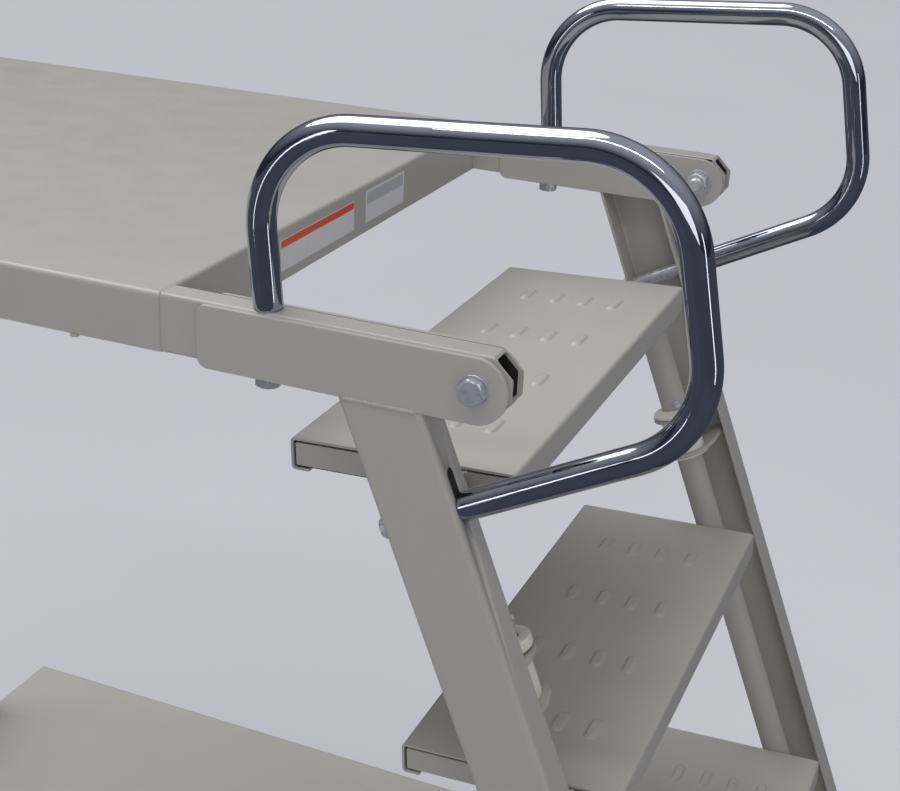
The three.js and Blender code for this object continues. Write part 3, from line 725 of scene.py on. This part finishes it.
for index in range(4):
    node = f"tread_{index + 1}"
    low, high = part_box(node)
    nose = np.array([pivot.x + (tread_nose + tread_run * index) * mm, 0,
                     top - (tread_drop + tread_rise * index) * mm])
    d, s, f, p = tread_deep, tread_sheet, tread_flange, tread_lip
    outline = rounded([(0, 0), (-d, 0), (-d, -f), (p - d, -f), (p - d, s - f), (s - d, s - f),
                       (s - d, -s), (-s, -s), (-s, s - f), (-p, s - f), (-p, -f), (0, -f)],
                      np.array([4, 4, 4, 0.4, 0.4, 1.5, 1.5, 1.5, 1.5, 0.4, 0.4, 4]) * mm, 5)
    # More points on the two long runs, the top face and the underside, for the pressed ovals.
    xs = spread(-d + 8 * mm, -8 * mm, grip_x, 9 * mm, 1.3 * mm, 9 * mm)
    upper = np.flatnonzero((outline[:, 1] > -0.01 * mm))
    split_top = upper[np.argmax(np.diff(outline[upper, 0]) < -0.05)] + 1
    under = np.flatnonzero((np.abs(outline[:, 1] + s) < 0.01 * mm))
    split_low = under[np.argmax(np.diff(outline[under, 0]) > 0.05)] + 1
    outline = np.concatenate([
        outline[:split_top], np.column_stack([xs[::-1], 0 * xs]), outline[split_top:split_low],
        np.column_stack([xs, 0 * xs - s]), outline[split_low:]])
    ys = np.concatenate([[low.y, low.y + 1 * mm], spread(low.y + 9 * mm, high.y - 8 * mm, grip_y,
                                                         20 * mm, 1.6 * mm, 16 * mm),
                         [high.y - 1 * mm, high.y]])
    x, z = outline[None, :, 0] + 0 * ys[:, None], outline[None, :, 1] + 0 * ys[:, None]
    y = ys[:, None] + 0 * x
    from_x = np.abs(x[..., None] - grip_x).min(-1)
    from_y = np.maximum(np.abs(y[..., None] - grip_y).min(-1) - grip_half_long, 0)
    inside = np.clip(1 - np.hypot(from_x, from_y) / grip_radius, 0, 1)
    flat = (z > -s - 0.01 * mm)
    swell = np.clip(inside * 1.9, 0, 1)
    z = z + flat * grip_rise * swell ** 2 * (3 - 2 * swell)
    c, t = np.cos(tread_tilt), np.sin(tread_tilt)
    spot = np.stack([nose[0] + x * c - z * t, y, nose[2] + x * t + z * c], -1)
    made = skin(f"step_{index + 1}", spot)
    fit(made, painted, "tread_frame", node)
    for side, sign in both_sides:
        end_node = f"tread_end_plate_{index + 1}_{side}"
        end_low, end_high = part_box(end_node)
        # A black sheet behind the plate is painted shade: it shows as a thin dark line in the gap
        # round it.
        out_by = sign * end_proud
        behind = (end_high.y if sign < 0 else end_low.y) + out_by
        faces = sorted((behind - sign * 0.2 * mm, behind - sign * 1.2 * mm))
        shapes = []
        for g in (end_gap, shade_sheet_gap):
            flat = oblong(s + g - d, s - f + g, -s - g, -s - g)
            shapes.append(np.column_stack([nose[0] + flat[:, 0] * c - flat[:, 1] * t,
                                           nose[2] + flat[:, 0] * t + flat[:, 1] * c]))
        end = plate(f"step_end_{index + 1}_{side}", shapes[0], np.full(4, 1.2 * mm),
                    end_low.y + out_by, end_high.y + out_by, edge=0.4 * mm, steps=4)
        fit(end, painted, "tread_frame", end_node)
        end_shade = plate(f"step_end_shade_{index + 1}_{side}", shapes[1], np.full(4, 1.6 * mm), faces[0],
                     faces[1], edge=0.2 * mm, steps=4)
        fit(end_shade, black_rubber_and_shade, "tread_frame")

# ---- Tread posts and feet -----------------------------------------------------------------
# Round 32 mm tubes welded to the ends of all four treads make one sliding frame. A moulded rubber
# cup on the foot of each post is cut flat to stand on the floor.
post_radius = 15.9 * mm
post_wall = 2.5 * mm
post_back = -5.3 * mm
foot_radius = 30.3 * mm
tread_end = 279
weld_rings = 34
to_end = np.minimum(np.arange(weld_rings), weld_rings - 1 - np.arange(weld_rings))
ending = np.clip(to_end / 3 + 0.3, 0, 1)
for side, sign in both_sides:
    low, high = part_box(f"tread_post_{side}")
    y = (low.y + high.y) / 2
    head_at = on_ladder(155 * mm, y, post_back)
    tail_at = on_ladder(top - 22 * mm, y, post_back)
    long = np.linalg.norm(tail_at - head_at)
    r, w, e = post_radius, post_wall, 0.5 * mm
    profile = [(r - w + 0.4 * mm, 0), (r - e, 0), (r, e), (r, long / 2), (r, long - e),
               (r - e, long), (r - w + 0.4 * mm, long), (r - w, long - 0.4 * mm), (r - w, long / 2),
               (r - w, 0.4 * mm)]
    post = turned(f"post_{side}", profile, down, head_at, around=56, ring=True)
    fit(post, painted, "tread_frame", f"tread_post_{side}")
    # The cup: two grip ribs round its wall and a flat sole where it meets the floor.
    lift = 52 * mm / np.cos(slope)
    base = on_ladder(top, y, post_back)
    q, rib = foot_radius, 1.6 * mm
    profile = [(r + 0.3 * mm, 0.8 * mm), (r + 1.5 * mm, 0), (q - 2.6 * mm, 0), (q - rib, 1 * mm),
               (q - rib, 9 * mm), (q, 10.5 * mm), (q, 15 * mm), (q - rib, 16.5 * mm),
               (q - rib, 25 * mm), (q, 26.5 * mm), (q, 80 * mm), (r - 6 * mm, 80 * mm)]
    cup = along(down, base - down * lift, circles(profile, 64))
    below = np.minimum(cup[..., 2], 0)
    cup = cup + below[..., None] / np.cos(slope) * down
    foot = skin(f"foot_cup_{side}", cup)
    fit(foot, black_rubber_and_shade, "tread_frame", f"rubber_foot_{side}")
    for index in range(4):
        drop = (tread_drop + tread_rise * index) * mm + 10 * mm
        spot = on_ladder(drop, sign * tread_end * mm, post_back)
        weld = tube(f"weld_step_{index + 1}_{side}",
                    spot + np.linspace(-14, 14, weld_rings)[:, None] * mm * across,
                    (1.7 + 0.3 * np.cos(np.linspace(0, 60, weld_rings))) * ending * mm,
                    (0, 1, 0), sides=10)
        fit(weld, painted, "tread_frame")

# ---- Slide guides -------------------------------------------------------------------------
# Ring eyes on a plate inside each stile hold the posts. A long nylon sleeve with a flange runs
# through both upper eyes, a short bush through the lower one; above is a small screw in the post.

# Injection-moulded nylon: natural off-white, slightly waxy, light passing a little way into it.
nylon, tree, shader, place = new_material("moulded_nylon")
cream = noise(tree, place, 50.0, 3.0)
feed(tree, shader, Base_Color=blend(tree, cream, tone("#d9d6c8"), tone("#e9e7dd")),
     Normal=bump(tree, cream, 0.1, 0.0002), Roughness=0.46, Subsurface_Weight=0.15,
     Subsurface_Radius=(0.004, 0.003, 0.002))
white_nylon = (nylon, "nylon")


upslope = -down
post_y = 295.2 * mm
upper_drop, lower_drop = 310 * mm, 890 * mm
eye_spacing = 46 * mm
guide_half = 27 * mm
guide_wall = 366.9 * mm


def eye_plate(name, axis, origin, sign):
    """Eye with a straight root: the outline is a full circle on the post's side and two straight
    edges that run out to the stile; the bore follows it. Four corners of each edge are softened."""
    ring, root, thick, bore = 29 * mm, guide_half, 4 * mm, 21.8 * mm
    reach = 365 * mm + plate_proud - 3.3 * mm - abs(origin[1])
    angle = np.linspace(0, 2 * np.pi, 96, endpoint=False)
    circle = np.stack([np.cos(angle), np.sin(angle)], 1)
    outside = ring * circle
    square = np.stack([np.clip(circle[:, 0] * 2.2, -1, 1) * root - post_back,
                       np.clip(np.abs(circle[:, 1]) * 2.2, 0, 1) * reach * sign], 1)
    outer = np.where((circle[:, 1] * sign > 0)[:, None], square, outside)
    inner = bore * circle
    e = 0.4 * mm
    rows = []
    for shape, shrink, z in ((outer, e, 0), (outer, 0, e), (outer, 0, thick - e), (outer, e, thick),
                             (inner, -e, thick), (inner, 0, thick - e), (inner, 0, e),
                             (inner, -e, 0)):
        pulled = shape * (1 - shrink / ring)
        rows.append(np.column_stack([pulled[:, 0], pulled[:, 1], np.full(len(shape), z)]))
    local = np.array(rows)
    world = (np.asarray(origin) + local[..., :1] * across + local[..., 1:2] * np.array([0, 1.0, 0])
             + local[..., 2:] * np.asarray(axis))
    return skin(name, world, ring=True)


for side, sign in both_sides:
    y = sign * post_y
    for tag, drop, offsets in (("upper", upper_drop, (0, -eye_spacing)),
                               ("lower", lower_drop, (0,))):
        node = f"guide_bracket_{tag}_{side}"
        seat = on_ladder(drop, y, post_back)
        for count, offset in enumerate(offsets):
            ring_plate = eye_plate(f"guide_eye_{tag}_{count + 1}_{side}", upslope,
                                   seat + upslope * offset, sign)
            fit(ring_plate, painted, "frame", *([] if count else [node]))
        flat = rounded(oblong(-guide_half, min(offsets) - 12 * mm, guide_half, 16 * mm), 3 * mm, 4)
        rows = []
        for inset, depth in ((0.8 * mm, 0), (0.3 * mm, 0), (0, 0.4 * mm), (0, 3.6 * mm),
                             (0.3 * mm, 4 * mm), (0.8 * mm, 4 * mm)):
            drawn = flat * (1 - inset / guide_half) - (post_back, 0)
            spot = seat + drawn[:, :1] * across + drawn[:, 1:] * upslope
            spot[:, 1] = sign * guide_wall - sign * depth
            rows.append(spot)
        back = skin(f"guide_back_{tag}_{side}", np.array(rows))
        fit(back, painted, "frame")
    bore, wall = 16.3 * mm, 21.5 * mm
    # The left collar is a thick block, the right one a thin ring with a low neck.
    if side == "left":
        collar = [(18.5, 0), (18.5, 2), (27.2, 2), (28, 3), (28, 11), (26.8, 12), (17, 12),
                  (16.3, 11.2)]
    else:
        collar = [(27, 0), (28, 1), (28, 3.6), (26.8, 5), (21, 5.4), (20, 8), (17, 8.4),
                  (16.3, 7.6)]
    plain = [(27.2, 0), (28, 0.6), (28, 2.4), (27.2, 3), (17, 3), (16.3, 2.4)]
    for tag, drop, foot_z, upper in (("top", upper_drop, -50.3 * mm, collar),
                                     ("low", lower_drop, -7.3 * mm, plain)):
        seat = on_ladder(drop, y, post_back) + upslope * 4.3 * mm
        profile = [(bore, foot_z + 0.6 * mm), (wall - 0.8 * mm, foot_z), (wall, foot_z + 0.8 * mm),
                   (wall, -0.4 * mm), (wall, 0), *(np.array(upper) * mm)]
        bush = turned(f"bush_{tag}_{side}", profile, upslope, seat, around=72, ring=True)
        fit(bush, white_nylon, "frame", f"guide_bush_{tag}_{side}")
    ring_at = on_ladder(upper_drop, y, post_back) - upslope * 49.3 * mm
    profile = np.array([(16.3, 0.4), (17, 0), (24.8, 0), (25.5, 0.7), (25.5, 2.3), (24.8, 3),
                        (17, 3), (16.3, 2.6)]) * mm
    keeper = turned(f"bush_mid_{side}", profile, upslope, ring_at, around=72, ring=True)
    fit(keeper, white_nylon, "frame", f"guide_bush_mid_{side}")
    inward = unit(0.5 * across - sign * np.array([0, 0.87, 0]))
    stop_drop = (284 if side == "left" else 292) * mm
    stop_at = on_ladder(stop_drop, y, post_back) + inward * post_radius * 0.96
    stop = hex_head(f"post_screw_{side}", inward, stop_at, 4.2 * mm, 3.6 * mm)
    fit(stop, plated, "tread_frame")

# ---- Stickers -----------------------------------------------------------------------------
# Two thin vinyl labels, plain, stand on the deck's end skirt: one with an orange band along its
# top edge, one all white.

# Self-adhesive vinyl: smooth, softly shiny print film with a very slight orange peel.
vinyl = {}
for name, colour in (("white_vinyl", "#dcdcdf"), ("orange_vinyl", "#e0562b"),
                     ("grey_vinyl", "#b9babf")):
    vinyl[name], tree, shader, place = new_material(name)
    film = noise(tree, place, 260.0, 2.0)
    darker = tuple(0.9 * v for v in tone(colour)[:3]) + (1.0,)
    feed(tree, shader, Base_Color=blend(tree, film, tone(colour), darker),
         Normal=bump(tree, film, 0.1, 0.0001), Roughness=0.35)


def label(name, y0, y1, drop0, drop1, proud, material):
    """Thin film with rounded corners, lying on the end skirt."""
    flat = rounded(oblong(y0, top - drop1, y1, top - drop0), min(1.5 * mm, 0.3 * (drop1 - drop0)),
                   4)
    centre = flat.mean(0)
    rows = []
    for shrink, depth in ((1, -0.5), (1, 0.7), (0.999, 1), (0.99, 1)):
        drawn = centre + (flat - centre) * shrink
        rows.append(np.column_stack([np.full(len(flat), deck_high.x + proud * depth), drawn]))
    return fit(skin(name, np.array(rows)), (material, "painted_steel"), "frame")


label("label_wide", -156 * mm, 4 * mm, 12 * mm, 44 * mm, 0.10 * mm, vinyl["white_vinyl"])
label("label_wide_band", -155 * mm, 3 * mm, 13 * mm, 20.5 * mm, 0.16 * mm, vinyl["orange_vinyl"])
label("label_small", 32 * mm, 130 * mm, 8 * mm, 44 * mm, 0.10 * mm, vinyl["white_vinyl"])
label("label_small_panel", 35 * mm, 127 * mm, 11 * mm, 24 * mm, 0.15 * mm, vinyl["grey_vinyl"])

# ---- Lower deck ---------------------------------------------------------------------------
# The same folded tray as the upper one, longer, so that it runs on below the ladder.
lower_low, lower_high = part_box("lower_deck")
lower = tray("lower_tray", lower_low, lower_high)
fit(lower, painted, "frame", "lower_deck")
rivet = turned("skirt_rivet", np.array([(1.5, 0), (4.6, 0), (4.4, 1.2), (3.2, 2.4), (1.5, 3)]) * mm,
               (0, 0, -1), (pivot.x - 379 * mm, deck_low.y + 1.2 * mm, deck_low.z), around=28)
fit(rivet, painted, "frame")

# ---- Base rails ---------------------------------------------------------------------------
# Rectangular tubes under the lower deck's sides, cut at the ladder's slope in front, where they are
# welded to the stiles. The casters are bolted to them.
for side, sign in both_sides:
    node = f"base_rail_{side}"
    low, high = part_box(node)
    mid_y, mid_z = (low.y + high.y) / 2, (low.z + high.z) / 2
    half = np.array([(high.y - low.y) / 2, (high.z - low.z) / 2])
    outer = rounded(signs * half, 3.5 * mm, 6)
    bore = rounded(signs * (half - 2.5 * mm), 1.5 * mm, 6)
    rows = []
    for outline, front in ((outer, 0), (outer, 1), (bore, 1), (bore, 0)):
        reach = high.x - (mid_z + outline[:, 1] - low.z) * np.tan(slope)
        x = reach if front else np.full(len(outline), low.x)
        rows.append(np.column_stack([x, mid_y + outline[:, 0], mid_z + outline[:, 1]]))
    rail = skin(f"rail_{side}", np.array(rows), ring=True)
    fit(rail, painted, "frame", node)

# ---- Uprights and push handle -------------------------------------------------------------
# Square tubes with plastic end plugs join the decks at the far end, and a bent chromed tube
# between them is the handle that the stand is pushed by.
for side, sign in both_sides:
    node = f"upright_{side}"
    low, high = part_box(node)
    middle = (low + high) / 2
    half = np.array([(high.x - low.x) / 2, (high.y - low.y) / 2])
    outer = rounded(signs * half, 3.5 * mm, 6)
    bore = rounded(signs * (half - 2 * mm), 1.5 * mm, 6)
    rows = [np.column_stack([middle.x + line[:, 0], middle.y + line[:, 1], np.full(len(line), z)])
            for line, z in ((outer, low.z), (outer, high.z), (bore, high.z), (bore, low.z))]
    post = skin(f"upright_tube_{side}", np.array(rows), ring=True)
    fit(post, painted, "frame", node)
    rows = []
    for size, z in ((0.4, 3.6), (0.86, 3.4), (0.97, 2.6), (0.99, 1.4), (0.99, 0.2), (0.88, 0.1),
                    (0.88, -9), (0.3, -9)):
        line = rounded(signs * half * size, max(3.5 * mm * size, 1 * mm), 6)
        rows.append(np.column_stack([middle.x + line[:, 0], middle.y + line[:, 1],
                                     np.full(len(line), high.z + z * mm)]))
    cap = skin(f"upright_plug_{side}", np.array(rows))
    fit(cap, black_rubber_and_shade, "frame")
    for deck_name, (tray_low, tray_high) in (("upper", (deck_low, deck_high)),
                                             ("lower", (lower_low, lower_high))):
        for place_y in (-1, 1):
            spot_y = middle.y + place_y * (half[1] + 0.8 * mm)
            bead(f"weld_upright_{deck_name}_{side}_{'a' if place_y < 0 else 'b'}",
                 (tray_low.x - 0.6 * mm, spot_y, tray_low.z + 4 * mm),
                 (tray_low.x - 0.6 * mm, spot_y, min(tray_high.z, high.z) - 6 * mm), 1.9 * mm,
                 7.0 + place_y)

low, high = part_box("push_handle")
level = (low.z + high.z) / 2
bends = np.array([(high.x, low.y + grab_radius), (low.x + grab_radius, low.y + grab_radius),
                  (low.x + grab_radius, high.y - grab_radius), (high.x, high.y - grab_radius)])
bends = np.column_stack([bends, np.full(4, level)])
line = rounded(bends, np.array([20, 50, 50, 20]) * mm, 16, closed=False)
push = tube("push_rail", line, grab_radius, (0, 0, 1), sides=40)
fit(push, chromed, "frame", "push_handle")

# ---- Casters ------------------------------------------------------------------------------
# Four swivel casters: pressed and zinc-plated plate, ball race and fork, and a wheel with a grey
# elastic tread moulded on a polypropylene core. Nothing in them is sprung or locked.

# Injection-moulded polypropylene: mid grey, a little shiny.
core_plastic, tree, shader, place = new_material("moulded_polypropylene")
swirl = noise(tree, place, 90.0, 3.0)
feed(tree, shader, Base_Color=blend(tree, swirl, tone("#6a6d72"), tone("#797c81")),
     Normal=bump(tree, swirl, 0.15, 0.0002), Roughness=0.42)

# Thermoplastic rubber tread: dark grey, matt, scuffed lighter where it rolls.
tread_rubber, tree, shader, place = new_material("thermoplastic_rubber")
scuff = noise(tree, place, 70.0, 6.0, Roughness=0.75)
feed(tree, shader, Base_Color=blend(tree, scuff, tone("#3c3d40"), tone("#5a5b5f")),
     Normal=bump(tree, scuff, 0.3, 0.0003), Roughness=0.7)

race_profile = np.array([(8, 3.5), (22, 3.8), (24, 5), (24.6, 8), (23.5, 11.5), (21, 13.7),
                         (8, 13.9)]) * mm
crown_profile = np.array([(6, 0), (24, 0), (26, 1.2), (26.5, 3), (25.5, 5), (6, 5)]) * mm
bolt_along, bolt_aside = 35 * mm, 28 * mm
fork_sheet = 3 * mm
for end in ("rear", "front"):
    for side in ("left", "right"):
        name = f"caster_{end}_{side}"
        low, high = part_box(f"{name}_plate")
        cx, cy, cz = (low.x + high.x) / 2, (low.y + high.y) / 2, high.z
        wheel_low, wheel_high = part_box(f"{name}_wheel")
        hub = (wheel_low + wheel_high) / 2
        wheel_r = (wheel_high.z - wheel_low.z) / 2
        flat = rounded(oblong(low.x, low.y, high.x, high.y), 8 * mm, 6)
        middle = flat.mean(0)
        rows = []
        for shrink, z in ((0.97, cz), (0.995, cz), (1, cz - 0.5 * mm), (1, cz - 3.2 * mm),
                          (0.99, cz - 4 * mm), (0.95, cz - 4 * mm)):
            rows.append(np.column_stack([middle + (flat - middle) * shrink, np.full(len(flat), z)]))
        top_plate = skin(f"{name}_top_plate", np.array(rows))
        fit(top_plate, plated, "frame", f"{name}_plate")
        race = turned(f"{name}_race", race_profile, (0, 0, -1), (cx, cy, cz), around=56)
        fit(race, plated, "frame")
        for k, (sx, sy) in enumerate(((-1, -1), (1, -1), (1, 1), (-1, 1))):
            bolt = hex_head(f"{name}_bolt_{k + 1}", (0, 0, -1),
                            (cx + sx * bolt_along, cy + sy * bolt_aside, cz - 4 * mm), 6.3 * mm,
                            5 * mm, 0.4 * k)
            fit(bolt, plated, "frame")
        # The fork is one pressing: a round crown with a leg folded down each side of the wheel.
        crown = cz - 14.3 * mm
        swivel = f"{name}_swivel"
        dish = turned(f"{name}_crown", crown_profile, (0, 0, -1), (cx, cy, crown), around=56)
        fit(dish, plated, swivel, f"{name}_fork")
        half_in = wheel_high.y - hub.y + 2.0 * mm
        bridge = plate(f"{name}_bridge", oblong(cx - 24 * mm, crown - 6 * mm, cx + 24 * mm,
                                                crown - 2 * mm),
                       [1.5 * mm] * 4, cy - half_in - 2.4 * mm, cy + half_in + 2.4 * mm,
                       edge=0.6 * mm, steps=4)
        fit(bridge, plated, swivel)
        for tag, turn in (("near", -1), ("far", 1)):
            inner = cy + turn * half_in
            faces = sorted((inner, inner + turn * fork_sheet))
            leg = plate(f"{name}_leg_{tag}",
                        [(cx + 24 * mm, crown - 2 * mm), (cx - 24 * mm, crown - 2 * mm),
                         (hub.x - 15 * mm, hub.z + 6 * mm), (hub.x - 14 * mm, hub.z - 15 * mm),
                         (hub.x + 14 * mm, hub.z - 15 * mm), (hub.x + 16 * mm, hub.z + 4 * mm)],
                        np.array([3, 3, 12, 12, 12, 12]) * mm, faces[0], faces[1], steps=8)
            fit(leg, plated, swivel)
            spot = (hub.x, inner + turn * fork_sheet, hub.z)
            axle_end = hex_head(f"{name}_axle_{tag}", (0, turn, 0), spot, 7.4 * mm, 5.4 * mm, 0.2)
            fit(axle_end, plated, swivel)
        w = (wheel_high.y - wheel_low.y) / 2
        t = w - 1.5 * mm
        tyre_line = rounded(oblong(wheel_r - 13 * mm, -t, wheel_r, t),
                            np.array([1.5, 7, 7, 1.5]) * mm, 7)
        tyre = turned(f"{name}_tyre", tyre_line, (0, 1, 0), hub, around=96, ring=True)
        roller = f"{name}_roller"
        fit(tyre, (tread_rubber, "wheel_rubber"), roller, f"{name}_wheel")
        # The core's half section, from the bore out past the hollow flank to the rim, mirrored.
        web, rim = t - 5 * mm, t - 0.6 * mm
        flank = [(5.4 * mm, w), (14 * mm, w), (16 * mm, web), (44 * mm, web), (46 * mm, rim),
                 (50.6 * mm, rim)]
        core_line = rounded([(r, -v) for r, v in flank] + flank[::-1],
                            np.array([0.5, 1, 3, 2, 1, 0.3, 0.3, 1, 2, 3, 1, 0.5]) * mm, 4)
        core = turned(f"{name}_core", core_line, (0, 1, 0), hub, around=96, ring=True)
        fit(core, (core_plastic, "wheel_rubber"), roller)
